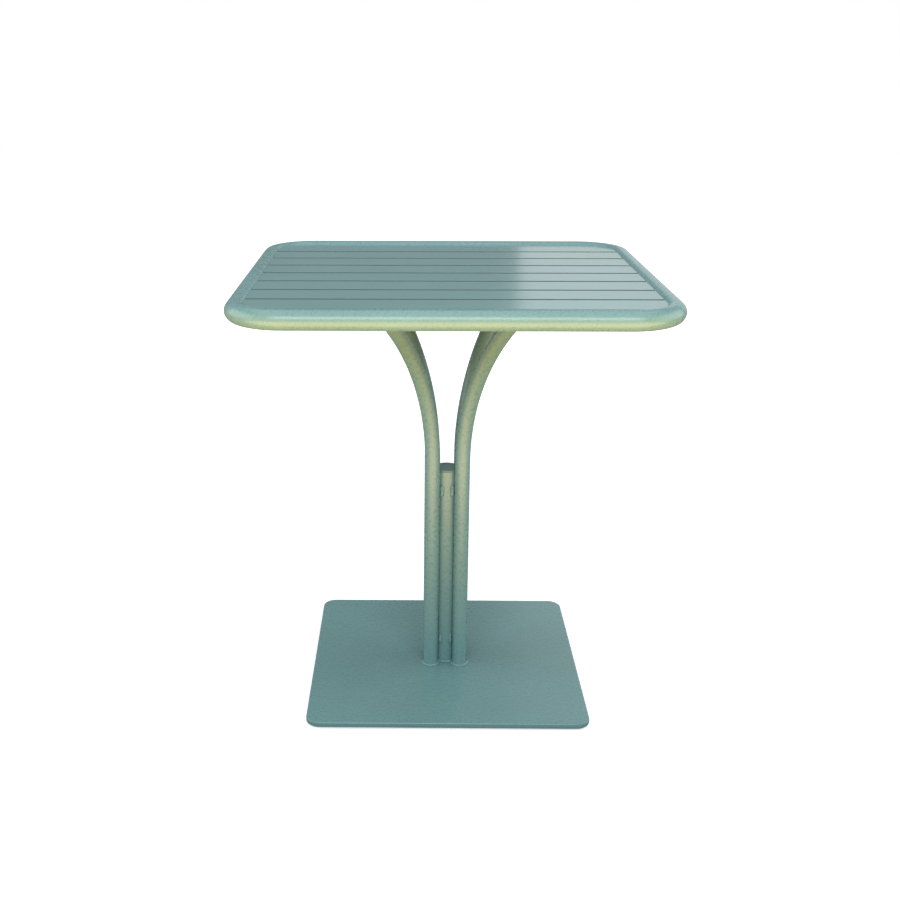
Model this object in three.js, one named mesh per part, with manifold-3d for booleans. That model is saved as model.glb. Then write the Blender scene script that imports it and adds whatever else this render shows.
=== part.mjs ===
// Square steel bistro table: slatted top in a bent-tube rim, four flared column tubes round a
// centre post, and a heavy square base plate on four levelling glides.
// Millimetres, +Z up, origin on the floor at the centre of the table, front towards -Y.
import * as THREE from "three";
import { mergeVertices } from "three/addons/utils/BufferGeometryUtils.js";
import Module from "manifold-3d";

const wasm = await Module();
wasm.setup();

// ---------------------------------------------------------------- driving dimensions
const TABLE_HEIGHT = 750;
const TOP_WIDTH = 700; // square top, outside of the rim tube
const GAP = 0.3; // clearance between pieces that touch

const RIM_RADIUS = 16; // outside radius of the rim tube
const RIM_WALL = 1.5;
const RIM_CORNER = 95; // plan radius at the outside of each corner
const RIM_SEAM = 0.4; // open slit of the butt seam at the middle of the back

const SLAT_COUNT = 8;
const SLAT_DROP = 5; // slat tops lie this far below the top of the rim
const SLAT_DEPTH = 15;
const SLAT_SHEET = 1.5;
const SLAT_GAP = 7;
const SLAT_EDGE = 1; // rounding along the long edges of a slat
const FIELD_HALF_DEPTH = 306; // from the centre to the outer edge of the first and last slats
const FIELD_HALF_WIDTH = 326;
const FIELD_CORNER = 44;

const RAIL_WIDTH = 30;
const RAIL_HEIGHT = 15;
const RAIL_WALL = 1.5;
const RAIL_INSET = 14; // from the axis of the rim tube to the square part of a rail's end
const BAR_LENGTH = 380;
const BAR_WIDTH = 50;
const BAR_THICKNESS = 5;

const BASE_WIDTH = 490;
const BASE_CORNER = 25;
const BASE_THICKNESS = 10;
const BASE_EDGE = 2.5; // rounding of the edges of the base plate

const COLUMN_RADIUS = 13.45;
const COLUMN_WALL = 2;
const BEND_START = 412; // height where the column tubes start to flare
const BEND_RADIUS = 389;
const POST_RADIUS = 24;
const POST_WALL = 2;
const POST_TOP = 390.5;
const CAP_THICKNESS = 3;
const CAP_SPIGOT = 12;

const WELD_LEG = 4.5; // leg of the fillet welds
const STITCH_RADIUS = 4.5;
const STITCH_BANDS = [
  ["lower", 50, 70],
  ["upper", 343, 366],
];

const GLIDE_INSET = 45; // from the sides of the base plate to a glide's centre
const GLIDE_RADIUS = 14;
const GLIDE_HEIGHT = 2.7;
const STUD_RADIUS = 4; // M8
const STUD_FLANGE = 8;
const STUD_HOLE_DEPTH = 7.5;

const BOLT_RADIUS = 4; // M8
const BOLT_HEAD = 7.5; // across corners, as a radius
const BOLT_HEAD_HEIGHT = 5.3;
const BOLT_REACH = 13; // length of shank above the washer
const BOLT_Y = 172;
const WASHER_RADIUS = 8;
const WASHER_THICKNESS = 1.6;

// ---------------------------------------------------------------- derived sizes
const RIM_CENTRE_Z = TABLE_HEIGHT - RIM_RADIUS;
const RIM_HALF = TOP_WIDTH / 2 - RIM_RADIUS; // from the centre to the axis of the rim tube
const RIM_BEND = RIM_CORNER - RIM_RADIUS;
const SLAT_TOP = TABLE_HEIGHT - SLAT_DROP;
const SLAT_PITCH = (2 * FIELD_HALF_DEPTH + SLAT_GAP) / SLAT_COUNT;
const SLAT_WIDTH = SLAT_PITCH - SLAT_GAP;
const RAIL_TOP = SLAT_TOP - SLAT_DEPTH - GAP;
const RAIL_BOTTOM = RAIL_TOP - RAIL_HEIGHT;
const BAR_TOP = RAIL_BOTTOM - GAP;
const BAR_BOTTOM = BAR_TOP - BAR_THICKNESS;
const COLUMN_TOP = BAR_BOTTOM - GAP;
const BASE_BOTTOM = GLIDE_HEIGHT + GAP;
const BASE_TOP = BASE_BOTTOM + BASE_THICKNESS;
const FOOT = BASE_TOP + GAP; // where the tubes stand on the base plate
const COLUMN_OFFSET = (POST_RADIUS + COLUMN_RADIUS + GAP) / Math.SQRT2;
const TOP_ANGLE = Math.asin((COLUMN_TOP - BEND_START) / BEND_RADIUS);
const TOP_OFFSET = COLUMN_OFFSET + (BEND_RADIUS * (1 - Math.cos(TOP_ANGLE))) / Math.SQRT2;
const GLIDE_OFFSET = BASE_WIDTH / 2 - GLIDE_INSET;

const CORNERS = [
  ["front_left", -1, -1],
  ["front_right", 1, -1],
  ["back_right", 1, 1],
  ["back_left", -1, 1],
];
const SIDES = [
  ["left", -1],
  ["right", 1],
];

// ---------------------------------------------------------------- materials
const paint = new THREE.MeshStandardMaterial({ color: 0x7c9a97, roughness: 0.38, metalness: 0 });
const capPaint = new THREE.MeshStandardMaterial({ color: 0x50696a, roughness: 0.5, metalness: 0 });
const zinc = new THREE.MeshStandardMaterial({ color: 0xb4b8ba, roughness: 0.35, metalness: 1 });
const nylon = new THREE.MeshStandardMaterial({ color: 0x26282a, roughness: 0.6, metalness: 0 });

// ---------------------------------------------------------------- solids
// A closed three.js geometry as a manifold solid that can be joined and cut.
function solid(geometry) {
  const plain = geometry.clone();
  plain.deleteAttribute("normal");
  plain.deleteAttribute("uv");
  const merged = mergeVertices(plain, 1e-4);
  const vertProperties = merged.getAttribute("position").array;
  const triVerts = new Uint32Array(merged.index.array);
  return new wasm.Manifold(new wasm.Mesh({ numProp: 3, vertProperties, triVerts }));
}

function geometryOf(manifold) {
  const mesh = manifold.getMesh();
  const positions = new Float32Array(mesh.numVert * 3);
  for (let i = 0; i < mesh.numVert; i++) {
    const start = i * mesh.numProp;
    positions.set(mesh.vertProperties.subarray(start, start + 3), i * 3);
  }
  const geometry = new THREE.BufferGeometry();
  geometry.setAttribute("position", new THREE.BufferAttribute(positions, 3));
  geometry.setIndex(new THREE.BufferAttribute(new Uint32Array(mesh.triVerts), 1));
  const faceted = geometry.toNonIndexed();
  faceted.computeVertexNormals();
  return faceted;
}

// The first geometry with the others cut away from it.
function cut(geometry, ...tools) {
  const left = tools.reduce((body, tool) => body.subtract(solid(tool)), solid(geometry));
  return geometryOf(left);
}

function box(x0, x1, y0, y1, z0, z1) {
  const geometry = new THREE.BoxGeometry(x1 - x0, y1 - y0, z1 - z0);
  return geometry.translate((x0 + x1) / 2, (y0 + y1) / 2, (z0 + z1) / 2);
}

// An upright cylinder from z0 to z1.
function cylinder(radius, x, y, z0, z1, sides = 24) {
  const geometry = new THREE.CylinderGeometry(radius, radius, z1 - z0, sides);
  return geometry.rotateX(Math.PI / 2).translate(x, y, (z0 + z1) / 2);
}

// A ring of flat cross-section about the Z axis.
function turned(profile, sides = 32) {
  const points = profile.map(([radius, z]) => new THREE.Vector2(radius, z));
  return new THREE.LatheGeometry(points, sides).rotateX(Math.PI / 2);
}

function roundedRectangle(halfX, halfY, corner) {
  const shape = new THREE.Shape();
  const x = halfX - corner;
  const y = halfY - corner;
  shape.absarc(x, y, corner, 0, Math.PI / 2);
  shape.absarc(-x, y, corner, Math.PI / 2, Math.PI);
  shape.absarc(-x, -y, corner, Math.PI, 1.5 * Math.PI);
  shape.absarc(x, -y, corner, 1.5 * Math.PI, 2 * Math.PI);
  shape.closePath();
  return shape;
}

function circle(radius) {
  return new THREE.Shape().absarc(0, 0, radius, 0, 2 * Math.PI);
}

// ---------------------------------------------------------------- bent tubes
// The axis of a bent tube, held as stations: close together round a bend, far apart where straight.
class TubeAxis extends THREE.Curve {
  constructor(stations) {
    super();
    this.stations = stations;
  }
  getPoint(t, target = new THREE.Vector3()) {
    const place = t * (this.stations.length - 1);
    const index = Math.min(Math.floor(place), this.stations.length - 2);
    return target.lerpVectors(this.stations[index].point, this.stations[index + 1].point, place - index);
  }
  getTangentAt(t, target = new THREE.Vector3()) {
    const index = Math.round(t * (this.stations.length - 1));
    return target.copy(this.stations[index].tangent);
  }
  getSpacedPoints() {
    return this.stations.map((station) => station.point.clone());
  }
}

// A round tube along its axis; a wall of 0 makes a solid bar.
function bentTube(stations, radius, wall, sides = 16) {
  const section = circle(radius);
  if (wall > 0) section.holes.push(circle(radius - wall));
  return new THREE.ExtrudeGeometry(section, {
    steps: stations.length - 1,
    curveSegments: sides / 2,
    extrudePath: new TubeAxis(stations),
  });
}

function station(x, y, z, dx, dy, dz) {
  return { point: new THREE.Vector3(x, y, z), tangent: new THREE.Vector3(dx, dy, dz).normalize() };
}

// Once round the rim, from one side of the seam at the back to the other.
function rimStations(seam) {
  const stations = [station(-seam / 2, RIM_HALF, RIM_CENTRE_Z, -1, 0, 0)];
  const centre = RIM_HALF - RIM_BEND;
  const steps = 6;
  for (let corner = 1; corner <= 4; corner++) {
    const start = (corner * Math.PI) / 2;
    const middle = start + Math.PI / 4;
    const x = centre * Math.SQRT2 * Math.cos(middle);
    const y = centre * Math.SQRT2 * Math.sin(middle);
    for (let i = 0; i <= steps; i++) {
      const angle = start + (i / steps) * (Math.PI / 2);
      const cos = Math.cos(angle);
      const sin = Math.sin(angle);
      stations.push(station(x + RIM_BEND * cos, y + RIM_BEND * sin, RIM_CENTRE_Z, -sin, cos, 0));
    }
  }
  stations.push(station(seam / 2, RIM_HALF, RIM_CENTRE_Z, -1, 0, 0));
  return stations;
}

// The rim made fatter, to cut the ends of what is welded to it.
function rimCutter() {
  return bentTube(rimStations(-RIM_SEAM), RIM_RADIUS + GAP, 0, 32);
}

// Upright beside the post, then flaring out along the table's diagonal.
function columnStations(signX, signY) {
  const stations = [station(signX * COLUMN_OFFSET, signY * COLUMN_OFFSET, FOOT, 0, 0, 1)];
  const steps = 9;
  const lastAngle = TOP_ANGLE + 0.09; // runs on past the mounting bar, to be trimmed level
  for (let i = 0; i <= steps; i++) {
    const angle = (i / steps) * lastAngle;
    const out = COLUMN_OFFSET + (BEND_RADIUS * (1 - Math.cos(angle))) / Math.SQRT2;
    const lean = Math.sin(angle) / Math.SQRT2;
    const z = BEND_START + BEND_RADIUS * Math.sin(angle);
    stations.push(station(signX * out, signY * out, z, signX * lean, signY * lean, Math.cos(angle)));
  }
  return stations;
}

// ---------------------------------------------------------------- pieces
const table = new THREE.Group();
table.name = "bistro_table";

function add(name, geometry, material) {
  const mesh = new THREE.Mesh(geometry, material.clone());
  mesh.name = name;
  table.add(mesh);
  return mesh;
}

function addBase() {
  const flat = BASE_THICKNESS - 2 * BASE_EDGE;
  const half = BASE_WIDTH / 2 - BASE_EDGE;
  const plate = new THREE.ExtrudeGeometry(roundedRectangle(half, half, BASE_CORNER - BASE_EDGE), {
    depth: flat,
    curveSegments: 6,
    bevelThickness: BASE_EDGE,
    bevelSize: BASE_EDGE,
    bevelSegments: 3,
  }).translate(0, 0, BASE_BOTTOM + BASE_EDGE);
  const holes = CORNERS.map(([, x, y]) =>
    cylinder(STUD_RADIUS + GAP, x * GLIDE_OFFSET, y * GLIDE_OFFSET, 0, BASE_BOTTOM + STUD_HOLE_DEPTH),
  );
  add("base_plate", cut(plate, ...holes), paint);
}

// A nylon pad that turns on the flange of a threaded stud, which screws up into the base plate.
function addGlides() {
  const recess = GLIDE_HEIGHT - 1.5;
  const seat = STUD_FLANGE + GAP;
  const padProfile = [
    [0, 0],
    [GLIDE_RADIUS - 1, 0],
    [GLIDE_RADIUS, 1],
    [GLIDE_RADIUS, GLIDE_HEIGHT - 0.5],
    [GLIDE_RADIUS - 0.5, GLIDE_HEIGHT],
    [seat, GLIDE_HEIGHT],
    [seat, recess],
    [0, recess],
  ];
  const studProfile = [
    [0, recess + GAP],
    [STUD_FLANGE, recess + GAP],
    [STUD_FLANGE, GLIDE_HEIGHT],
    [STUD_RADIUS, GLIDE_HEIGHT],
    [STUD_RADIUS, BASE_BOTTOM + STUD_HOLE_DEPTH - 1.5],
    [STUD_RADIUS - 1, BASE_BOTTOM + STUD_HOLE_DEPTH - 0.5],
    [0, BASE_BOTTOM + STUD_HOLE_DEPTH - 0.5],
  ];
  for (const [corner, x, y] of CORNERS) {
    const place = new THREE.Vector3(x * GLIDE_OFFSET, y * GLIDE_OFFSET, 0);
    add("glide_pad_" + corner, turned(padProfile, 24), nylon).position.copy(place);
    add("glide_stud_" + corner, turned(studProfile, 16), zinc).position.copy(place);
  }
}

function addPost() {
  const inside = POST_RADIUS - POST_WALL;
  const postProfile = [
    [POST_RADIUS, FOOT],
    [POST_RADIUS, POST_TOP],
    [inside, POST_TOP],
    [inside, FOOT],
    [POST_RADIUS, FOOT],
  ];
  add("centre_post", turned(postProfile), paint);
  const seat = POST_TOP + GAP;
  const spigot = inside - GAP;
  const capProfile = [
    [0, seat - CAP_SPIGOT],
    [spigot - 1, seat - CAP_SPIGOT],
    [spigot, seat - CAP_SPIGOT + 2],
    [spigot, seat],
    [POST_RADIUS, seat],
    [POST_RADIUS, seat + CAP_THICKNESS - 1.2],
    [POST_RADIUS - 0.4, seat + CAP_THICKNESS - 0.4],
    [POST_RADIUS - 1.2, seat + CAP_THICKNESS],
    [0, seat + CAP_THICKNESS],
  ];
  add("post_cap", turned(capProfile), capPaint);
}

function addColumns() {
  const above = box(-400, 400, -400, 400, COLUMN_TOP, COLUMN_TOP + 200);
  for (const [corner, x, y] of CORNERS) {
    const tube = bentTube(columnStations(x, y), COLUMN_RADIUS, COLUMN_WALL);
    add("column_tube_" + corner, cut(tube, above), paint);
  }
}

// A fillet round the foot of every upright, all run together into one bead.
function addFootWeld() {
  const fillet = (radius) => {
    const inner = radius - 1;
    const profile = [
      [inner, FOOT],
      [radius + WELD_LEG, FOOT],
      [radius + WELD_LEG * 0.4, FOOT + WELD_LEG * 0.4],
      [radius, FOOT + WELD_LEG],
      [inner, FOOT + WELD_LEG],
      [inner, FOOT],
    ];
    return turned(profile, 24);
  };
  let bead = solid(fillet(POST_RADIUS));
  const uprights = [cylinder(POST_RADIUS + GAP, 0, 0, 0, FOOT + 20, 48)];
  for (const [, x, y] of CORNERS) {
    const place = [x * COLUMN_OFFSET, y * COLUMN_OFFSET];
    bead = bead.add(solid(fillet(COLUMN_RADIUS).translate(...place, 0)));
    uprights.push(cylinder(COLUMN_RADIUS + GAP, ...place, 0, FOOT + 20, 48));
  }
  add("foot_weld", cut(geometryOf(bead), ...uprights), paint);
}

// A short bead in each of the eight grooves between the post and a column tube, in two bands.
function addStitchWelds() {
  const along = POST_RADIUS + GAP / 2;
  const aside = 9;
  for (const [corner, x, y] of CORNERS) {
    const column = cylinder(COLUMN_RADIUS + GAP, x * COLUMN_OFFSET, y * COLUMN_OFFSET, 0, BEND_START, 48);
    const post = cylinder(POST_RADIUS + GAP, 0, 0, 0, BEND_START, 48);
    for (const [face, side] of [["a", -1], ["b", 1]]) {
      const beadX = (x * along - side * y * aside) / Math.SQRT2;
      const beadY = (y * along + side * x * aside) / Math.SQRT2;
      for (const [band, z0, z1] of STITCH_BANDS) {
        const bead = cylinder(STITCH_RADIUS, beadX, beadY, z0, z1, 16);
        add(`stitch_weld_${band}_${corner}_${face}`, cut(bead, column, post), paint);
      }
    }
  }
}

// A flat bar over the tops of one front-to-back pair of column tubes, bolted up to a rail.
function addMountingBars() {
  for (const [side, x] of SIDES) {
    const centre = x * TOP_OFFSET;
    const bar = new THREE.ExtrudeGeometry(roundedRectangle(BAR_WIDTH / 2, BAR_LENGTH / 2, 8), {
      depth: BAR_THICKNESS,
      curveSegments: 4,
      bevelEnabled: false,
    }).translate(centre, 0, BAR_BOTTOM);
    const holes = [-1, 1].map((end) =>
      cylinder(BOLT_RADIUS + GAP, centre, end * BOLT_Y, BAR_BOTTOM - 5, BAR_TOP + 5, 16),
    );
    add("mounting_bar_" + side, cut(bar, ...holes), paint);
  }
}

// A bead round the slanting end of each column tube, under its mounting bar.
function addColumnTopWelds() {
  const z0 = COLUMN_TOP - WELD_LEG;
  const long = 1 / Math.cos(TOP_ANGLE);
  for (const [corner, x, y] of CORNERS) {
    const bead = new THREE.CylinderGeometry(COLUMN_RADIUS + WELD_LEG, COLUMN_RADIUS + 1.5, WELD_LEG, 24);
    bead.rotateX(Math.PI / 2).scale(long, 1, 1).rotateZ(Math.atan2(y, x));
    bead.translate(x * TOP_OFFSET, y * TOP_OFFSET, z0 + WELD_LEG / 2);
    const tube = bentTube(columnStations(x, y), COLUMN_RADIUS + GAP, 0, 32);
    add("column_top_weld_" + corner, cut(bead, tube), paint);
  }
}

function addFasteners() {
  const seat = BAR_BOTTOM - GAP;
  const head = seat - WASHER_THICKNESS - GAP;
  const hole = BOLT_RADIUS + GAP;
  const washerProfile = [
    [hole, seat - WASHER_THICKNESS],
    [WASHER_RADIUS, seat - WASHER_THICKNESS],
    [WASHER_RADIUS, seat],
    [hole, seat],
    [hole, seat - WASHER_THICKNESS],
  ];
  const boltHead = solid(cylinder(BOLT_HEAD, 0, 0, head - BOLT_HEAD_HEIGHT, head, 6));
  const shank = solid(cylinder(BOLT_RADIUS, 0, 0, head - 1, head + BOLT_REACH, 16));
  const bolt = geometryOf(boltHead.add(shank));
  for (const [corner, x, y] of CORNERS) {
    const place = new THREE.Vector3(x * TOP_OFFSET, y * BOLT_Y, 0);
    add("washer_" + corner, turned(washerProfile, 20), zinc).position.copy(place);
    add("bolt_" + corner, bolt.clone(), zinc).position.copy(place);
  }
}

// Rectangular tubes under the slats, running front to back, their ends shaped to the rim tube.
function addRails() {
  const rim = rimCutter();
  const half = RIM_HALF - RAIL_INSET;
  const inner = RAIL_WIDTH / 2 - RAIL_WALL;
  for (const [side, x] of SIDES) {
    const centre = x * TOP_OFFSET;
    const tube = box(centre - RAIL_WIDTH / 2, centre + RAIL_WIDTH / 2, -half, half, RAIL_BOTTOM, RAIL_TOP);
    const hollow = box(
      centre - inner,
      centre + inner,
      -half - 5,
      half + 5,
      RAIL_BOTTOM + RAIL_WALL,
      RAIL_TOP - RAIL_WALL,
    );
    const holes = [-1, 1].map((end) =>
      cylinder(BOLT_RADIUS + GAP, centre, end * BOLT_Y, RAIL_BOTTOM - 5, RAIL_BOTTOM + 5, 16),
    );
    add("cross_rail_" + side, cut(tube, hollow, rim, ...holes), paint);
  }
}

// A slat's cross-section: an open-bottomed channel with rounded long edges.
function slatSection() {
  const half = SLAT_WIDTH / 2;
  const inner = half - SLAT_SHEET;
  const under = -SLAT_SHEET;
  const shape = new THREE.Shape();
  shape.moveTo(half, -SLAT_DEPTH);
  shape.absarc(half - SLAT_EDGE, -SLAT_EDGE, SLAT_EDGE, 0, Math.PI / 2);
  shape.absarc(-half + SLAT_EDGE, -SLAT_EDGE, SLAT_EDGE, Math.PI / 2, Math.PI);
  shape.lineTo(-half, -SLAT_DEPTH);
  shape.lineTo(-inner, -SLAT_DEPTH);
  shape.lineTo(-inner, under);
  shape.lineTo(inner, under);
  shape.lineTo(inner, -SLAT_DEPTH);
  shape.closePath();
  return shape;
}

function addSlats() {
  const rim = rimCutter();
  const field = new THREE.ExtrudeGeometry(roundedRectangle(FIELD_HALF_WIDTH, FIELD_HALF_DEPTH, FIELD_CORNER), {
    depth: 60,
    curveSegments: 8,
    bevelEnabled: false,
  }).translate(0, 0, SLAT_TOP - 40);
  const fieldSolid = solid(field);
  for (let i = 0; i < SLAT_COUNT; i++) {
    const y = -FIELD_HALF_DEPTH + SLAT_WIDTH / 2 + i * SLAT_PITCH;
    const channel = new THREE.ExtrudeGeometry(slatSection(), {
      depth: 2 * FIELD_HALF_WIDTH,
      curveSegments: 3,
      bevelEnabled: false,
    });
    // the section's X becomes the table's Y, and its length runs along the table's X
    channel.rotateX(Math.PI / 2).rotateZ(Math.PI / 2).translate(-FIELD_HALF_WIDTH, y, SLAT_TOP);
    add("slat_" + (i + 1), cut(geometryOf(solid(channel).intersect(fieldSolid)), rim), paint);
  }
}

function addRim() {
  add("rim_tube", bentTube(rimStations(RIM_SEAM), RIM_RADIUS, RIM_WALL), paint);
}

addBase();
addGlides();
addPost();
addColumns();
addFootWeld();
addStitchWelds();
addMountingBars();
addColumnTopWelds();
addFasteners();
addRails();
addSlats();
addRim();

export default table;
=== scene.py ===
import math

import bmesh
import bpy
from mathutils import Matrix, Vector, noise


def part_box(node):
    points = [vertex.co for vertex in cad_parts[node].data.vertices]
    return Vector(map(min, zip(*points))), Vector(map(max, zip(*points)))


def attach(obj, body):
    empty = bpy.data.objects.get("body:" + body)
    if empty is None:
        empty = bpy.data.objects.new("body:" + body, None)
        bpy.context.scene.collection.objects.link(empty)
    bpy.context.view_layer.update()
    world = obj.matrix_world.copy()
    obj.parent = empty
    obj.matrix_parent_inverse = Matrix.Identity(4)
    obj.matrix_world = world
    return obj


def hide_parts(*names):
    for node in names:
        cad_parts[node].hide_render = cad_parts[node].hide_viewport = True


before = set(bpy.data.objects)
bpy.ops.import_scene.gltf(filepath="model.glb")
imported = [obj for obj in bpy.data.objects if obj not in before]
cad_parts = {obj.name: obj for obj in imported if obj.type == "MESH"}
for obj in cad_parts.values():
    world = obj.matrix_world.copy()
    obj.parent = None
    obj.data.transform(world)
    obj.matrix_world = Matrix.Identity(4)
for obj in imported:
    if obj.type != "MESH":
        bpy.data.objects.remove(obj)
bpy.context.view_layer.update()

MM = 0.001
UP = Vector((0, 0, 1))
GAP = 0.3 * MM  # clearance that the CAD keeps between touching pieces

# ------------------------------------------------------------ sizes read from the frame
CORNERS = [("front_left", -1, -1), ("front_right", 1, -1), ("back_right", 1, 1), ("back_left", -1, 1)]
SIDES = [("left", -1), ("right", 1)]

rim_low, rim_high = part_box("rim_tube")
RIM_RADIUS = (rim_high.z - rim_low.z) / 2
RIM_Z = rim_high.z - RIM_RADIUS
RIM_HALF = rim_high.x - RIM_RADIUS  # from the centre to the axis of the rim tube
RIM_BEND = 79 * MM
RIM_WALL = 1.5 * MM
RIM_SEAM = 0.4 * MM

SLAT_COUNT = 8
SLAT_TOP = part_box("slat_1")[1].z
SLAT_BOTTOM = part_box("slat_1")[0].z
SLAT_SHEET = 1.5 * MM
SLAT_EDGE = 1 * MM
SLAT_INNER_EDGE = 0.4 * MM
FIELD_HALF_WIDTH = 326 * MM
FIELD_HALF_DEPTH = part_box("slat_8")[1].y
FIELD_CORNER = 44 * MM

base_low, base_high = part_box("base_plate")
BASE_TOP = base_high.z
BASE_HALF = base_high.x
BASE_CORNER = 25 * MM
BASE_EDGE = 2.5 * MM

post_low, post_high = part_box("centre_post")
POST_RADIUS = post_high.x
POST_WALL = 2 * MM
FOOT = post_low.z

COLUMN_RADIUS = 13.45 * MM
COLUMN_WALL = 2 * MM
BEND_START = 412 * MM
column_low, column_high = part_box("column_tube_back_right")
COLUMN_TOP = column_high.z
COLUMN_OFFSET = column_low.x + COLUMN_RADIUS  # of a column's foot, along X and along Y
bar_low, bar_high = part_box("mounting_bar_right")
BAR_X = (bar_low.x + bar_high.x) / 2
BEND_OUT = (BAR_X - COLUMN_OFFSET) * math.sqrt(2)
BEND_RISE = COLUMN_TOP - BEND_START
BEND_RADIUS = (BEND_RISE**2 + BEND_OUT**2) / (2 * BEND_OUT)
TOP_ANGLE = math.asin(BEND_RISE / BEND_RADIUS)

rail_low, rail_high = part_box("cross_rail_right")
RAIL_HALF_WIDTH = (rail_high.x - rail_low.x) / 2
RAIL_HALF_LENGTH = rail_high.y
RAIL_WALL = 1.5 * MM
CLEARANCE_HOLE = 4.3 * MM  # radius of the holes that the bolts and studs pass through
STUD_HOLE_DEPTH = 7.5 * MM
BOLT_HEAD_HEIGHT = 5.3 * MM
RAIL_CORNER = 2.5 * MM


# ------------------------------------------------------------ mesh helpers
def piece(name, bm, material, body, replaced=(), sharp=40):
    """The bmesh as an object in place, riding on its body, with edges sharper than an angle kept crisp."""
    bmesh.ops.recalc_face_normals(bm, faces=bm.faces)
    mesh = bpy.data.meshes.new(name)
    bm.to_mesh(mesh)
    bm.free()
    mesh.polygons.foreach_set("use_smooth", [True] * len(mesh.polygons))
    mesh.set_sharp_from_angle(angle=math.radians(sharp))
    mesh.materials.append(material)
    made = bpy.data.objects.new(name, mesh)
    bpy.context.scene.collection.objects.link(made)
    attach(made, body)
    if replaced:
        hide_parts(*replaced)
    return made


def add_ring(bm, points):
    return [bm.verts.new(point) for point in points]


def join_rings(bm, first, second, closed=True):
    """A band of quads between two rings of as many vertices."""
    count = len(first)
    for i in range(count if closed else count - 1):
        j = (i + 1) % count
        bm.faces.new((first[i], first[j], second[j], second[i]))


def turned(bm, profile, sides, x=0.0, y=0.0, closed=False, wave=None):
    """A profile of (radius, z) turned about the upright axis through x, y.

    wave(angle, radius, z) moves the radius."""
    rings = []
    for radius, z in profile:
        if radius == 0:
            rings.append([bm.verts.new((x, y, z))])
            continue
        points = []
        for i in range(sides):
            angle = 2 * math.pi * i / sides
            r = radius + (wave(angle, radius, z) if wave else 0)
            points.append((x + r * math.cos(angle), y + r * math.sin(angle), z))
        rings.append(add_ring(bm, points))
    pairs = list(zip(rings, rings[1:]))
    if closed:
        pairs.append((rings[-1], rings[0]))
    for first, second in pairs:
        if len(first) == 1 or len(second) == 1:
            pole, ring = (first[0], second) if len(first) == 1 else (second[0], first)
            for i in range(len(ring)):
                bm.faces.new((pole, ring[i], ring[(i + 1) % len(ring)]))
        else:
            join_rings(bm, first, second)


def swept_tube(bm, stations, radius, wall, sides):
    """A hollow tube. Each station is a function of the offsets across the tube, giving a point."""
    shells = []
    for r in (radius, radius - wall):
        rings = []
        for station in stations:
            ring = []
            for i in range(sides):
                angle = 2 * math.pi * i / sides
                ring.append(station(r * math.cos(angle), r * math.sin(angle)))
            rings.append(add_ring(bm, ring))
        for first, second in zip(rings, rings[1:]):
            join_rings(bm, first, second)
        shells.append(rings)
    for end in (0, -1):
        join_rings(bm, shells[0][end], shells[1][end])


def arc(centre_a, centre_b, radius, start, stop, steps):
    """Points of a plane arc, angles in degrees."""
    points = []
    for i in range(steps + 1):
        angle = math.radians(start + (stop - start) * i / steps)
        points.append((centre_a + radius * math.cos(angle), centre_b + radius * math.sin(angle)))
    return points


def rounded_outline(half_x, half_y, corner, steps):
    points = []
    for k, (sx, sy) in enumerate([(1, 1), (-1, 1), (-1, -1), (1, -1)]):
        start = 90 * k
        points += arc(sx * (half_x - corner), sy * (half_y - corner), corner, start, start + 90, steps)
    return points


def plate(bm, half_x, half_y, corner, z0, z1, edge, corner_steps, edge_steps, x=0.0, y=0.0):
    """A flat plate with rounded corners in plan and rounded edges.

    It has a narrow flat ring inside each edge."""
    levels = [(edge + 1.5 * MM, z0)]
    levels += [(edge - edge * math.sin(math.pi / 2 * i / edge_steps),
                z0 + edge - edge * math.cos(math.pi / 2 * i / edge_steps)) for i in range(edge_steps + 1)]
    levels += [(edge - edge * math.cos(math.pi / 2 * i / edge_steps),
                z1 - edge + edge * math.sin(math.pi / 2 * i / edge_steps)) for i in range(edge_steps + 1)]
    levels.append((edge + 1.5 * MM, z1))
    rings = []
    for inset, z in levels:
        outline = rounded_outline(half_x - inset, half_y - inset, corner - inset, corner_steps)
        rings.append(add_ring(bm, [(x + a, y + b, z) for a, b in outline]))
    for first, second in zip(rings, rings[1:]):
        join_rings(bm, first, second)
    bm.faces.new(rings[0])
    bm.faces.new(rings[-1])


def cut_holes(made, holes, operation="DIFFERENCE"):
    """Cuts the shapes drawn in the bmesh out of a finished piece."""
    bmesh.ops.recalc_face_normals(holes, faces=holes.faces)
    mesh = bpy.data.meshes.new("holes")
    holes.to_mesh(mesh)
    holes.free()
    tool = bpy.data.objects.new("holes", mesh)
    bpy.context.scene.collection.objects.link(tool)
    modifier = made.modifiers.new("holes", "BOOLEAN")
    modifier.operation = operation
    modifier.solver = "EXACT"
    modifier.object = tool
    bpy.context.view_layer.update()
    evaluated = made.evaluated_get(bpy.context.evaluated_depsgraph_get())
    result = bpy.data.meshes.new_from_object(evaluated)
    made.modifiers.clear()
    made.data = result
    result.polygons.foreach_set("use_smooth", [True] * len(result.polygons))
    result.set_sharp_from_angle(angle=math.radians(40))
    bpy.data.objects.remove(tool)


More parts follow.
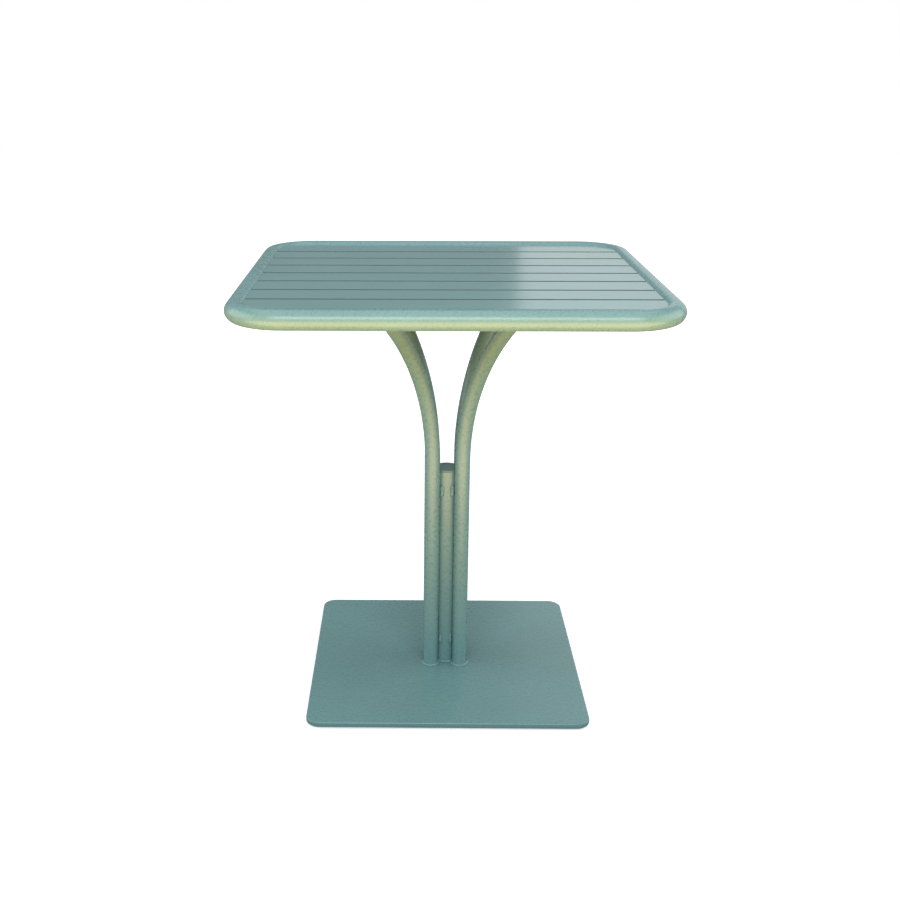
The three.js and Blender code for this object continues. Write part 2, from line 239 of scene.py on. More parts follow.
def bead(bm, path, radius, closed=False, pitch=2.4 * MM, sides=14, seed=0.0, ripples=0.12, wandering=0.13):
    """A rippled weld bead along a path of points, fatter and thinner as the torch paused and moved."""
    count = len(path)
    travelled = 0.0
    rings = []
    length = sum((path[i + 1] - path[i]).length for i in range(count - 1))
    for i, point in enumerate(path):
        if i:
            travelled += (point - path[i - 1]).length
        ahead = path[(i + 1) % count] if closed else path[min(i + 1, count - 1)]
        behind = path[i - 1] if closed or i else point
        tangent = (ahead - behind).normalized()
        aside = tangent.cross(UP if abs(tangent.z) < 0.9 else Vector((1, 0, 0))).normalized()
        above = aside.cross(tangent)
        ripple = abs((travelled / pitch) % 1.0 - 0.5) * 2
        wander = noise.noise(Vector((travelled * 180, seed, 0.3)))
        size = radius * (0.90 + ripples * (1 - ripple**2) + wandering * wander)
        if not closed:
            from_end = min(travelled, length - travelled) / (radius * 1.2)
            size *= math.sqrt(max(0.0, 1 - (1 - min(1.0, from_end)) ** 2)) * 0.97 + 0.03
        ring = []
        for k in range(sides):
            angle = 2 * math.pi * k / sides
            lump = 1 + 0.05 * noise.noise(Vector((travelled * 400, math.cos(angle) * 2, math.sin(angle) * 2 + seed)))
            trail = tangent * (0.3 * pitch * math.cos(2 * angle))
            across = aside * math.cos(angle) + above * math.sin(angle)
            ring.append(point + across * (size * lump) + trail * (size / radius))
        rings.append(add_ring(bm, ring))
    for first, second in zip(rings, rings[1:]):
        join_rings(bm, first, second)
    if closed:
        join_rings(bm, rings[-1], rings[0])
    else:
        bm.faces.new(rings[0])
        bm.faces.new(rings[-1])


def line(start, end, step=0.6 * MM):
    """Points along a straight line, a step apart."""
    start, end = Vector(start), Vector(end)
    count = max(2, round((end - start).length / step))
    return [start.lerp(end, i / count) for i in range(count + 1)]


def thread(bm, radius, z0, z1, x, y, pitch=1.25 * MM, depth=0.55 * MM, sides=24):
    """A screw thread from z0 to z1 with a chamfered tip, closed at both ends."""
    steps = round((z1 - z0) / (pitch / 8))
    rings = []
    for i in range(steps + 1):
        z = z0 + (z1 - z0) * i / steps
        fade = min(1.0, (z1 - z) / pitch)
        ring = []
        for k in range(sides):
            turn = k / sides
            flank = abs((z / pitch - turn) % 1.0 - 0.5) * 2
            r = radius - depth * flank - (1 - fade) * depth
            angle = 2 * math.pi * turn
            ring.append((x + r * math.cos(angle), y + r * math.sin(angle), z))
        rings.append(add_ring(bm, ring))
    for first, second in zip(rings, rings[1:]):
        join_rings(bm, first, second)
    bm.faces.new(rings[0])
    bm.faces.new(rings[-1])


# ------------------------------------------------------------ materials
class Nodes:
    """A material's node tree, with short calls to add and join nodes."""

    def __init__(self, name):
        self.material = bpy.data.materials.new(name)
        self.material.use_nodes = True
        self.tree = self.material.node_tree
        self.shader = self.tree.nodes["Principled BSDF"]
        self.place = self.add("ShaderNodeTexCoord").outputs["Object"]

    def add(self, kind, **settings):
        node = self.tree.nodes.new(kind)
        for name, value in settings.items():
            setattr(node, name, value)
        return node

    def join(self, source, target):
        self.tree.links.new(source, target)

    def noise(self, scale, detail=2.0, stretch=None, roughness=0.5, distortion=0.0):
        """The value of a noise texture in the object's own coordinates, features per metre."""
        made = self.add("ShaderNodeTexNoise")
        made.inputs["Scale"].default_value = scale
        made.inputs["Detail"].default_value = detail
        made.inputs["Roughness"].default_value = roughness
        made.inputs["Distortion"].default_value = distortion
        source = self.place
        if stretch:
            mapping = self.add("ShaderNodeMapping")
            mapping.inputs["Scale"].default_value = stretch[:3]
            mapping.inputs["Rotation"].default_value = (0, 0, stretch[3])
            self.join(self.place, mapping.inputs["Vector"])
            source = mapping.outputs["Vector"]
        self.join(source, made.inputs["Vector"])
        return made.outputs["Fac"]

    def ranged(self, value, low, high, to_low, to_high):
        made = self.add("ShaderNodeMapRange")
        for name, number in (("From Min", low), ("From Max", high), ("To Min", to_low), ("To Max", to_high)):
            made.inputs[name].default_value = number
        self.join(value, made.inputs["Value"])
        return made.outputs["Result"]

    def mixed(self, factor, first, second):
        """Colours mixed by a factor; each is a colour or the output of another node."""
        made = self.add("ShaderNodeMix", data_type="RGBA")
        self.join(factor, made.inputs["Factor"])
        for socket, value in ((made.inputs[6], first), (made.inputs[7], second)):
            if isinstance(value, tuple):
                socket.default_value = (*value, 1)
            else:
                self.join(value, socket)
        return made.outputs[2]

    def sum_of(self, first, second, operation="ADD"):
        made = self.add("ShaderNodeMath", operation=operation)
        self.join(first, made.inputs[0])
        self.join(second, made.inputs[1])
        return made.outputs[0]

    def bump(self, height, distance, strength=1.0, after=None):
        made = self.add("ShaderNodeBump")
        made.inputs["Strength"].default_value = strength
        made.inputs["Distance"].default_value = distance
        self.join(height, made.inputs["Height"])
        if after:
            self.join(after, made.inputs["Normal"])
        return made.outputs["Normal"]


def shade(colour, factor):
    return tuple(channel * factor for channel in colour)


PAINT = (0.135, 0.262, 0.262)


def powder_coat(name, colour=PAINT, low_gloss=0.25, high_gloss=0.32, peel=0.002 * MM):
    """Satin polyester powder coat: orange peel, faint clouding, specks, and light scuffs."""
    nodes = Nodes(name)
    clouds = nodes.ranged(nodes.noise(4.5, 4, roughness=0.6), 0.3, 0.7, 0, 1)
    tone = nodes.mixed(clouds, shade(colour, 0.955), shade(colour, 1.045))
    specks = nodes.ranged(nodes.noise(900, 1), 0.66, 0.82, 0, 0.03)
    tone = nodes.mixed(specks, tone, shade(colour, 0.80))
    scuff_lines = nodes.noise(26, 5, stretch=(1.0, 9.0, 3.0, 0.6), roughness=0.65, distortion=0.4)
    scuff_patches = nodes.noise(7, 3)
    scuffs = nodes.sum_of(
        nodes.ranged(scuff_lines, 0.60, 0.74, 0, 1),
        nodes.ranged(scuff_patches, 0.50, 0.66, 0, 1),
        "MULTIPLY",
    )
    tone = nodes.mixed(nodes.ranged(scuffs, 0, 1, 0, 0.018), tone, (0.42, 0.50, 0.48))
    nodes.join(tone, nodes.shader.inputs["Base Color"])
    grain = nodes.ranged(nodes.noise(160, 3), 0.3, 0.7, low_gloss, high_gloss)
    rubbed = nodes.ranged(scuffs, 0, 1, 0, 0.04)
    nodes.join(nodes.sum_of(grain, rubbed), nodes.shader.inputs["Roughness"])
    coarse = nodes.bump(nodes.noise(290, 2, roughness=0.45), peel)
    fine = nodes.bump(nodes.noise(1100, 1), peel * 0.2, after=coarse)
    nodes.join(fine, nodes.shader.inputs["Normal"])
    nodes.shader.inputs["IOR"].default_value = 1.5
    return nodes.material


def zinc_plate():
    """Bright zinc plating: cloudy grey, fine turning marks and small pits."""
    nodes = Nodes("zinc_plate")
    clouds = nodes.ranged(nodes.noise(180, 4), 0.3, 0.7, 0, 1)
    tone = nodes.mixed(clouds, (0.50, 0.51, 0.50), (0.70, 0.70, 0.67))
    stains = nodes.ranged(nodes.noise(420, 3), 0.58, 0.72, 0, 0.5)
    nodes.join(nodes.mixed(stains, tone, (0.36, 0.34, 0.28)), nodes.shader.inputs["Base Color"])
    nodes.join(nodes.ranged(nodes.noise(600, 3), 0.3, 0.7, 0.24, 0.42), nodes.shader.inputs["Roughness"])
    marks = nodes.bump(nodes.noise(1500, 2, stretch=(1, 1, 7, 0)), 0.012 * MM)
    nodes.join(nodes.bump(nodes.noise(2200, 1), 0.006 * MM, after=marks), nodes.shader.inputs["Normal"])
    nodes.shader.inputs["Metallic"].default_value = 1.0
    return nodes.material


def moulded_nylon():
    """Black nylon: spark-eroded mould grain and a scuffed, dusty look."""
    nodes = Nodes("moulded_nylon")
    clouds = nodes.ranged(nodes.noise(120, 4), 0.35, 0.7, 0, 1)
    tone = nodes.mixed(clouds, (0.018, 0.019, 0.020), (0.034, 0.034, 0.033))
    dust = nodes.ranged(nodes.noise(700, 3), 0.58, 0.78, 0, 0.4)
    nodes.join(nodes.mixed(dust, tone, (0.13, 0.125, 0.115)), nodes.shader.inputs["Base Color"])
    nodes.join(nodes.ranged(nodes.noise(500, 2), 0.3, 0.7, 0.48, 0.66), nodes.shader.inputs["Roughness"])
    nodes.join(nodes.bump(nodes.noise(2600, 2), 0.03 * MM), nodes.shader.inputs["Normal"])
    return nodes.material


paint = powder_coat("powder_coat")
slat_paint = powder_coat("powder_coat_on_slat", low_gloss=0.16, high_gloss=0.22, peel=0.002 * MM)
# The powder coat made much darker and duller: painted shade for the slat walls seen in the gaps.
painted_gap_shade_paint = powder_coat("powder_coat_with_painted_gap_shade", shade(PAINT, 0.42), low_gloss=0.55, high_gloss=0.70)
# The same powder coat made darker and greyer: painted shade on the post cap.
cap_paint_with_painted_shade = powder_coat("powder_coat_on_cap_with_painted_shade", (0.120, 0.205, 0.200), low_gloss=0.34, high_gloss=0.42)
weld_paint = powder_coat("powder_coat_on_weld", peel=0.03 * MM)
zinc = zinc_plate()
nylon = moulded_nylon()


# ------------------------------------------------------------ top: rim, slats, rails
def rim_station(x, y, out_x, out_y):
    """A place on the rim's axis; its first offset goes outwards and its second up."""
    return lambda u, v: Vector((x + out_x * u, y + out_y * u, RIM_Z + v))


def rim_stations(steps=14, straight=6):
    stations = [rim_station(-RIM_SEAM / 2, RIM_HALF, 0, 1)]
    centre = RIM_HALF - RIM_BEND
    for k, (sx, sy) in enumerate([(-1, 1), (-1, -1), (1, -1), (1, 1)]):
        for i in range(steps + 1):
            angle = math.pi / 2 * (k + 1 + i / steps)
            out_x, out_y = math.cos(angle), math.sin(angle)
            x, y = sx * centre + RIM_BEND * out_x, sy * centre + RIM_BEND * out_y
            stations.append(rim_station(x, y, out_x, out_y))
        if k < 3:
            for i in range(1, straight):
                along = centre * (1 - 2 * i / straight)
                angle = math.pi / 2 * (k + 2)
                out_x, out_y = round(math.cos(angle)), round(math.sin(angle))
                x = out_x * RIM_HALF if out_x else sx * along
                y = out_y * RIM_HALF if out_y else sy * along
                stations.append(rim_station(x, y, out_x, out_y))
    stations.append(rim_station(RIM_SEAM / 2, RIM_HALF, 0, 1))
    return stations


def make_rim():
    bm = bmesh.new()
    swept_tube(bm, rim_stations(), RIM_RADIUS, RIM_WALL, 48)
    piece("rim_tube_painted", bm, paint, "table", ["rim_tube"])


def make_rim_seam():
    """The ground-back butt weld that closes the rim tube at the middle of the back."""
    bm = bmesh.new()
    half_width = 3.5 * MM
    proud = 0.18 * MM
    rings = []
    for i in range(11):
        along = half_width * (i / 5 - 1)
        swell = proud * math.cos(math.pi / 2 * (i / 5 - 1)) - 0.05 * MM
        ring = []
        for k in range(48):
            angle = 2 * math.pi * k / 48
            ground = 0.06 * MM * noise.noise(Vector((i * 0.9, 5 * math.cos(angle), 5 * math.sin(angle))))
            r = RIM_RADIUS + swell + ground
            ring.append((along, RIM_HALF + r * math.cos(angle), RIM_Z + r * math.sin(angle)))
        rings.append(add_ring(bm, ring))
    for first, second in zip(rings, rings[1:]):
        join_rings(bm, first, second)
    inner = RIM_RADIUS - RIM_WALL * 0.6
    lips = []
    for along in (-half_width, half_width):
        lips.append(add_ring(bm, [(along, RIM_HALF + inner * math.cos(2 * math.pi * k / 48),
                                   RIM_Z + inner * math.sin(2 * math.pi * k / 48)) for k in range(48)]))
    join_rings(bm, rings[0], lips[0])
    join_rings(bm, rings[-1], lips[1])
    join_rings(bm, lips[0], lips[1])
    piece("rim_seam_weld", bm, weld_paint, "table", ())


def cope(z):
    """How far a piece at height z stops short of the rim's axis."""
    reach = (RIM_RADIUS + GAP) ** 2 - (z - RIM_Z) ** 2
    return math.sqrt(reach) if reach > 0 else 0.0


def slat_end(y, z):
    """The X at which a slat's sheet ends, at its place across the top."""
    away = abs(y)
    bend_centre = RIM_HALF - RIM_BEND
    end = min(FIELD_HALF_WIDTH, RIM_HALF - cope(z))
    if away > bend_centre:
        inside = (RIM_BEND - cope(z)) ** 2 - (away - bend_centre) ** 2
        end = min(end, bend_centre + math.sqrt(max(0.0, inside)))
    corner_centre = FIELD_HALF_DEPTH - FIELD_CORNER
    if away > corner_centre:
        inside = max(0.0, FIELD_CORNER**2 - (away - corner_centre) ** 2)
        end = min(end, FIELD_HALF_WIDTH - FIELD_CORNER + math.sqrt(inside))
    return end


def slat_section(low_y, high_y):
    """The folded channel as pairs of outer and inner points (y, z).

    They run from the foot of the front wall to the foot of the back one."""
    outer_z = SLAT_TOP - SLAT_EDGE
    inner_in = SLAT_SHEET + SLAT_INNER_EDGE
    inner_z = SLAT_TOP - inner_in
    clear = inner_in + 0.8 * MM
    wall_heights = (SLAT_BOTTOM, SLAT_BOTTOM + 0.8 * MM, SLAT_TOP - clear)
    pairs = [((low_y, z), (low_y + SLAT_SHEET, z)) for z in wall_heights]
    pairs += zip(arc(low_y + SLAT_EDGE, outer_z, SLAT_EDGE, 180, 90, 6),
                 arc(low_y + inner_in, inner_z, SLAT_INNER_EDGE, 180, 90, 6))
    first, last = low_y + clear, high_y - clear
    for i in range(29):
        y = first + (last - first) * i / 28
        pairs.append(((y, SLAT_TOP), (y, SLAT_TOP - SLAT_SHEET)))
    pairs += zip(arc(high_y - SLAT_EDGE, outer_z, SLAT_EDGE, 90, 0, 6),
                 arc(high_y - inner_in, inner_z, SLAT_INNER_EDGE, 90, 0, 6))
    pairs += [((high_y, z), (high_y - SLAT_SHEET, z)) for z in reversed(wall_heights)]
    return pairs


def make_slat(number, spans=12):
    """A folded slat. Everything below the lip of its top face takes a darker, duller copy of the paint: painted
    shade in the gaps between the slats.
    """
    node = f"slat_{number}"
    low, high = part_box(node)
    pairs = slat_section(low.y, high.y)
    bm = bmesh.new()
    outer_rows, inner_rows = [], []
    for i in range(spans + 1):
        share = 2 * i / spans - 1
        outer_rows.append(add_ring(bm, [(share * slat_end(y, z), y, z) for (y, z), _ in pairs]))
        inner_rows.append(add_ring(bm, [(share * slat_end(y, z), y, z) for _, (y, z) in pairs]))
    for rows in (outer_rows, inner_rows):
        for first, second in zip(rows, rows[1:]):
            join_rings(bm, first, second, closed=False)
    for end in (0, -1):
        join_rings(bm, outer_rows[end], inner_rows[end], closed=False)
    for k in (0, -1):
        outer_line = [row[k] for row in outer_rows]
        inner_line = [row[k] for row in inner_rows]
        join_rings(bm, outer_line, inner_line, closed=False)
    made = piece(f"{node}_painted", bm, slat_paint, "table", [node])
    made.data.materials.append(painted_gap_shade_paint)
    # Faces below the lip of the top take the painted gap shade.
    for face in made.data.polygons:
        face.material_index = 1 if face.center.z < SLAT_TOP - 0.15 * MM else 0


def rail_section(centre_x):
    """The rail's rectangular section as rings of outer and inner points (x, z)."""
    middle_z = (rail_low.z + rail_high.z) / 2
    half_z = (rail_high.z - rail_low.z) / 2
    outer = rounded_outline(RAIL_HALF_WIDTH, half_z, RAIL_CORNER, 5)
    inner = rounded_outline(RAIL_HALF_WIDTH - RAIL_WALL, half_z - RAIL_WALL, RAIL_CORNER - RAIL_WALL, 5)
    return [[(centre_x + x, middle_z + z) for x, z in ring] for ring in (outer, inner)]


def make_rail(side, sign, spans=10):
    bm = bmesh.new()
    shells = []
    for ring in rail_section(sign * BAR_X):
        rows = []
        for i in range(spans + 1):
            share = 2 * i / spans - 1
            ends = [min(RAIL_HALF_LENGTH, RIM_HALF - cope(z)) for _, z in ring]
            rows.append(add_ring(bm, [(x, share * end, z) for (x, z), end in zip(ring, ends)]))
        for first, second in zip(rows, rows[1:]):
            join_rings(bm, first, second)
        shells.append(rows)
    for end in (0, -1):
        join_rings(bm, shells[0][end], shells[1][end])
    node = f"cross_rail_{side}"
    made = piece(f"{node}_painted", bm, paint, "table", [node])
    cut_holes(made, bolt_holes(sign, rail_low.z - 5 * MM, rail_low.z + 5 * MM))


def make_mounting_bar(side, sign):
    bm = bmesh.new()
    half_x = (bar_high.x - bar_low.x) / 2
    plate(bm, half_x, bar_high.y, 8 * MM, bar_low.z, bar_high.z, 0.7 * MM, 8, 3, x=sign * BAR_X)
    node = f"mounting_bar_{side}"
    made = piece(f"{node}_painted", bm, paint, "table", [node])
    cut_holes(made, bolt_holes(sign, bar_low.z - 5 * MM, bar_high.z + 5 * MM))


def bolt_holes(sign, z0, z1):
    holes = bmesh.new()
    for end in ("front", "back"):
        low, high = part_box(f"washer_{end}_{'right' if sign > 0 else 'left'}")
        x, y = (low.x + high.x) / 2, (low.y + high.y) / 2
        turned(holes, [(0, z0), (CLEARANCE_HOLE, z0), (CLEARANCE_HOLE, z1), (0, z1)], 32, x, y)
    return holes


def make_slat_tacks():
    """Short weld beads that hold the slats to the rails and to the rim, all under the top."""
    for side, sign in SIDES:
        on_rail, on_rim = bmesh.new(), bmesh.new()
        for number in range(1, SLAT_COUNT + 1):
            low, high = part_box(f"slat_{number}")
            for wall, y in ((0, low.y + 0.5 * MM), (1, high.y - 0.5 * MM)):
                seed = number * 2.7 + wall
                for edge in (-1, 1):
                    x = sign * BAR_X + edge * (RAIL_HALF_WIDTH + 0.6 * MM)
                    start = (x, y - 4.5 * MM, rail_high.z + 0.2 * MM)
                    bead(on_rail, line(start, (x, y + 4.5 * MM, start[2])), 1.9 * MM, seed=seed + edge)
                end = slat_end(y, SLAT_BOTTOM + 2 * MM) + 0.2 * MM
                x = sign * end
                path = line((x, y, SLAT_BOTTOM + 0.5 * MM), (x, y, SLAT_BOTTOM + 10 * MM))
                bead(on_rim, path, 1.9 * MM, seed=seed)
        for end in (-1, 1):
            y = end * (RIM_HALF - cope(rail_high.z) - 0.2 * MM)
            for edge in (-1, 1):
                x = sign * BAR_X + edge * RAIL_HALF_WIDTH
                foot = end * (RIM_HALF - cope(rail_low.z + 4 * MM))
                path = line((x, foot, rail_low.z + 4 * MM), (x, y, rail_high.z - 1 * MM))
                bead(on_rim, path, 2.1 * MM, seed=x * 90)
        piece(f"rail_tack_welds_{side}", on_rail, weld_paint, "table", ())
        piece(f"rim_tack_welds_{side}", on_rim, weld_paint, "table", ())


# ------------------------------------------------------------ pedestal
def make_column(corner, sx, sy):
    """Upright beside the post, then bent out along the diagonal, its end cut level under the mounting bar."""
    diagonal = Vector((sx, sy, 0)).normalized()
    across = UP.cross(diagonal)
    foot = Vector((sx * COLUMN_OFFSET, sy * COLUMN_OFFSET, 0))

    def upright(z):
        return lambda u, v: foot + diagonal * u + across * v + UP * z

    def bent(share):
        def place(u, v):
            inside = BEND_RADIUS - u  # distance of this line of the tube from the centre of the bend
            angle = share * math.asin(BEND_RISE / inside)
            out = BEND_RADIUS - inside * math.cos(angle)
            return foot + diagonal * out + across * v + UP * (BEND_START + inside * math.sin(angle))

        return place

    heights = [FOOT + (BEND_START - FOOT) * i / 8 for i in range(8)]
    stations = [upright(z) for z in heights] + [bent(i / 28) for i in range(29)]
    bm = bmesh.new()
    swept_tube(bm, stations, COLUMN_RADIUS, COLUMN_WALL, 40)
    node = f"column_tube_{corner}"
    piece(f"{node}_painted", bm, paint, "table", [node])


def make_post():
    bm = bmesh.new()
    inside = POST_RADIUS - POST_WALL
    edge = 0.4 * MM
    top = post_high.z
    profile = [(POST_RADIUS, FOOT + (top - edge - FOOT) * i / 6) for i in range(7)]
    profile += [(POST_RADIUS - edge, top), (inside + edge, top), (inside, top - edge), (inside, FOOT)]
    turned(bm, profile, 64, closed=True)
    piece("centre_post_painted", bm, paint, "table", ["centre_post"])


def make_cap():
    low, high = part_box("post_cap")
    seat = post_high.z + GAP
    spigot = POST_RADIUS - POST_WALL - GAP
    crown = high.z
    roundness = 2 * MM
    round_edge = [(POST_RADIUS - roundness + a, crown - roundness + b) for a, b in arc(0, 0, roundness, 0, 90, 8)]
    profile = [(0, low.z), (spigot - 1 * MM, low.z), (spigot, low.z + 2 * MM), (spigot, seat)]
    profile += [(POST_RADIUS - 0.3 * MM, seat), (POST_RADIUS, seat + 0.3 * MM)]
    profile += round_edge + [(POST_RADIUS - 3.2 * MM, crown), (0, crown)]
    bm = bmesh.new()
    turned(bm, profile, 64)
    # The cap wears the darkened coat, a painted shade.
    piece("post_cap_painted", bm, cap_paint_with_painted_shade, "table", ["post_cap"])


def circles_meet(radius_a, radius_b, apart):
    """The angle at the first circle's centre between the other centre and the point where the circles cross."""
    return math.acos((radius_a**2 + apart**2 - radius_b**2) / (2 * radius_a * apart))


def foot_path(offset, z):
    """Once round the group of five uprights, keeping an offset from them, with softened inner corners."""
    apart = COLUMN_OFFSET * math.sqrt(2)
    column, post = COLUMN_RADIUS + offset, POST_RADIUS + offset
    at_column, at_post = circles_meet(column, post, apart), circles_meet(post, column, apart)
    step = 0.6 * MM
    points = []
    for k in range(4):
        heading = math.pi / 4 + k * math.pi / 2
        centre = Vector((apart * math.cos(heading), apart * math.sin(heading), z))
        for centre_point, radius, start, stop in (
            (centre, column, heading + math.pi + at_column, heading + 3 * math.pi - at_column),
            (Vector((0, 0, z)), post, heading + at_post, heading + math.pi / 2 - at_post),
        ):
            count = max(2, round(radius * (stop - start) / step))
            for i in range(count):
                angle = start + (stop - start) * i / count
                points.append(centre_point + Vector((radius * math.cos(angle), radius * math.sin(angle), 0)))
    for _ in range(8):
        points = [(points[i - 1] + points[i] * 2 + points[(i + 1) % len(points)]) / 4 for i in range(len(points))]
    return points


def make_foot_weld():
    bm = bmesh.new()
    path = foot_path(1.0 * MM, FOOT + 0.8 * MM)
    bead(bm, path, 2.7 * MM, closed=True, pitch=4.5 * MM, seed=4.2, ripples=0.22, wandering=0.25)
    piece("foot_weld_bead", bm, weld_paint, "table", ["foot_weld"])


def make_stitch_welds():
    """A bead in each groove between the post and a column tube, in a lower and an upper band."""
    for band in ("lower", "upper"):
        for corner, _, _ in CORNERS:
            for face in ("a", "b"):
                node = f"stitch_weld_{band}_{corner}_{face}"
                low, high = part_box(node)
                x, y = (low.x + high.x) / 2, (low.y + high.y) / 2
                outwards = Vector((x, y, 0)).normalized()
                sunk = outwards * (-3.0 * MM)
                seed = x * 310 + y * 170 + low.z * 50
                path = []
                for point in line((x, y, low.z), (x, y, high.z)):
                    sway = 0.7 * MM * noise.noise(Vector((point.z * 140, seed, 0)))
                    path.append(point + sunk + outwards.cross(UP) * sway)
                bm = bmesh.new()
                bead(bm, path, 4.4 * MM, pitch=5.0 * MM, seed=seed, ripples=0.16, wandering=0.20)
                piece(f"{node}_bead", bm, weld_paint, "table", [node])


def make_spatter():
    """Small beads of weld spatter, painted over, on the post round its stitch welds."""
    bm = bmesh.new()
    golden = math.pi * (3 - math.sqrt(5))
    for band, count in (("lower", 40), ("upper", 70)):
        low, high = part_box(f"stitch_weld_{band}_front_left_a")
        for i in range(count):
            angle = i * golden
            spread = noise.noise(Vector((i * 3.7, count, 0.5)))
            z = (low.z + high.z) / 2 + 30 * MM * spread
            size = (0.35 + 0.35 * abs(noise.noise(Vector((i * 1.9, 7.1, count))))) * MM
            centre = Vector((POST_RADIUS * math.cos(angle), POST_RADIUS * math.sin(angle), z))
            blob = bmesh.ops.create_icosphere(bm, subdivisions=1, radius=size)["verts"]
            bmesh.ops.translate(bm, verts=blob, vec=centre)
    piece("post_weld_spatter", bm, weld_paint, "table", ())


def make_column_top_weld(corner, sx, sy):
    """A bead round the slanting end of a column tube, against the underside of the mounting bar."""
    heading = math.atan2(sy, sx)
    centre = Vector((sx * BAR_X, sy * BAR_X, COLUMN_TOP - 1.2 * MM))
    long, short = COLUMN_RADIUS / math.cos(TOP_ANGLE) + 1.2 * MM, COLUMN_RADIUS + 1.2 * MM
    path = []
    for i in range(190):
        angle = 2 * math.pi * i / 190
        a, b = long * math.cos(angle), short * math.sin(angle)
        x = a * math.cos(heading) - b * math.sin(heading)
        y = a * math.sin(heading) + b * math.cos(heading)
        path.append(centre + Vector((x, y, 0)))
    bm = bmesh.new()
    bead(bm, path, 2.5 * MM, closed=True, pitch=2.8 * MM, seed=heading)
    node = f"column_top_weld_{corner}"
    piece(f"{node}_bead", bm, weld_paint, "table", [node])


# ------------------------------------------------------------ base, fasteners and glides
def make_base():
    bm = bmesh.new()
    plate(bm, BASE_HALF, BASE_HALF, BASE_CORNER, base_low.z, BASE_TOP, BASE_EDGE, 16, 6)
    made = piece("base_plate_painted", bm, paint, "table", ["base_plate"])
    holes = bmesh.new()
    for corner, _, _ in CORNERS:
        low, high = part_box(f"glide_stud_{corner}")
        x, y = (low.x + high.x) / 2, (low.y + high.y) / 2
        roof = base_low.z + STUD_HOLE_DEPTH
        turned(holes, [(0, 0), (CLEARANCE_HOLE, 0), (CLEARANCE_HOLE, roof), (0, roof)], 32, x, y)
    cut_holes(made, holes)


def make_washer(corner):
    low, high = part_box(f"washer_{corner}")
    x, y = (low.x + high.x) / 2, (low.y + high.y) / 2
    outer, hole, edge = (high.x - low.x) / 2, CLEARANCE_HOLE, 0.25 * MM
    profile = [(hole, low.z + edge), (hole + edge, low.z), (outer - edge, low.z), (outer, low.z + edge)]
    profile += [(outer, high.z - edge), (outer - edge, high.z), (hole + edge, high.z), (hole, high.z - edge)]
    bm = bmesh.new()
    turned(bm, profile, 48, x, y, closed=True)
    piece(f"washer_{corner}_plated", bm, zinc, "table", [f"washer_{corner}"])


def make_bolt(corner):
    """A hexagon bolt, its head chamfered underneath and a threaded shank going up into the rail."""
    low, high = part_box(f"bolt_{corner}")
    x, y = (low.x + high.x) / 2, (low.y + high.y) / 2
    radius = (high.x - low.x) / 2
    across = radius if high.x - low.x > high.y - low.y else (high.y - low.y) / 2
    head_top = low.z + BOLT_HEAD_HEIGHT
    sides = 72
    chamfer = 0.9 * MM

    def head_reach(angle, limit):
        turn = (angle + math.pi / 6) % (math.pi / 3) - math.pi / 6
        return min(limit, across * math.cos(math.pi / 6) / math.cos(turn))

    def head_ring(height, limit):
        points = []
        for k in range(sides):
            angle = 2 * math.pi * k / sides
            reach = head_reach(angle, limit)
            points.append((x + reach * math.sin(angle), y + reach * math.cos(angle), height))
        return points

    bm = bmesh.new()
    levels = [(low.z, across * 0.84)]
    levels += [(low.z + chamfer * i / 5, across * (0.86 + 0.14 * i / 5)) for i in range(1, 6)]
    levels += [(head_top - 0.2 * MM, across), (head_top, across - 0.25 * MM)]
    rings = [add_ring(bm, head_ring(height, limit)) for height, limit in levels]
    for first, second in zip(rings, rings[1:]):
        join_rings(bm, first, second)
    bm.faces.new(rings[0])
    bm.faces.new(rings[-1])
    thread(bm, 4 * MM, head_top - 0.5 * MM, high.z, x, y)
    piece(f"bolt_{corner}_plated", bm, zinc, "table", [f"bolt_{corner}"], sharp=25)


def make_glide(corner):
    """A nylon pad with a fluted grip edge, turning on the flange of its threaded stud."""
    body = f"glide_{corner}"
    low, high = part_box(f"glide_pad_{corner}")
    x, y = (low.x + high.x) / 2, (low.y + high.y) / 2
    radius = (high.x - low.x) / 2
    stud_low, stud_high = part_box(f"glide_stud_{corner}")
    flange = (stud_high.x - stud_low.x) / 2
    seat = flange + GAP
    recess = stud_low.z - GAP

    def flutes(angle, ring_radius, z):
        return -0.35 * MM * max(0.0, math.cos(24 * angle)) if ring_radius > radius - 0.8 * MM else 0.0

    profile = [(0, 0), (radius - 2.2 * MM, 0), (radius - 1 * MM, 0.15 * MM), (radius - 0.3 * MM, 0.5 * MM)]
    profile += [(radius, 1 * MM), (radius, high.z - 0.6 * MM), (radius - 0.25 * MM, high.z - 0.15 * MM)]
    profile += [(radius - 0.7 * MM, high.z), (seat + 0.2 * MM, high.z), (seat, high.z - 0.2 * MM)]
    profile += [(seat, recess), (0, recess)]
    bm = bmesh.new()
    turned(bm, profile, 144, x, y, wave=flutes)
    piece(f"glide_pad_{corner}_moulded", bm, nylon, body, [f"glide_pad_{corner}"])

    bm = bmesh.new()
    edge = 0.2 * MM
    profile = [(0, stud_low.z), (flange - edge, stud_low.z), (flange, stud_low.z + edge)]
    profile += [(flange, high.z - edge), (flange - edge, high.z), (0, high.z)]
    turned(bm, profile, 48, x, y)
    thread(bm, 4 * MM, high.z - 0.3 * MM, stud_high.z, x, y)
    piece(f"glide_stud_{corner}_plated", bm, zinc, body, [f"glide_stud_{corner}"], sharp=25)


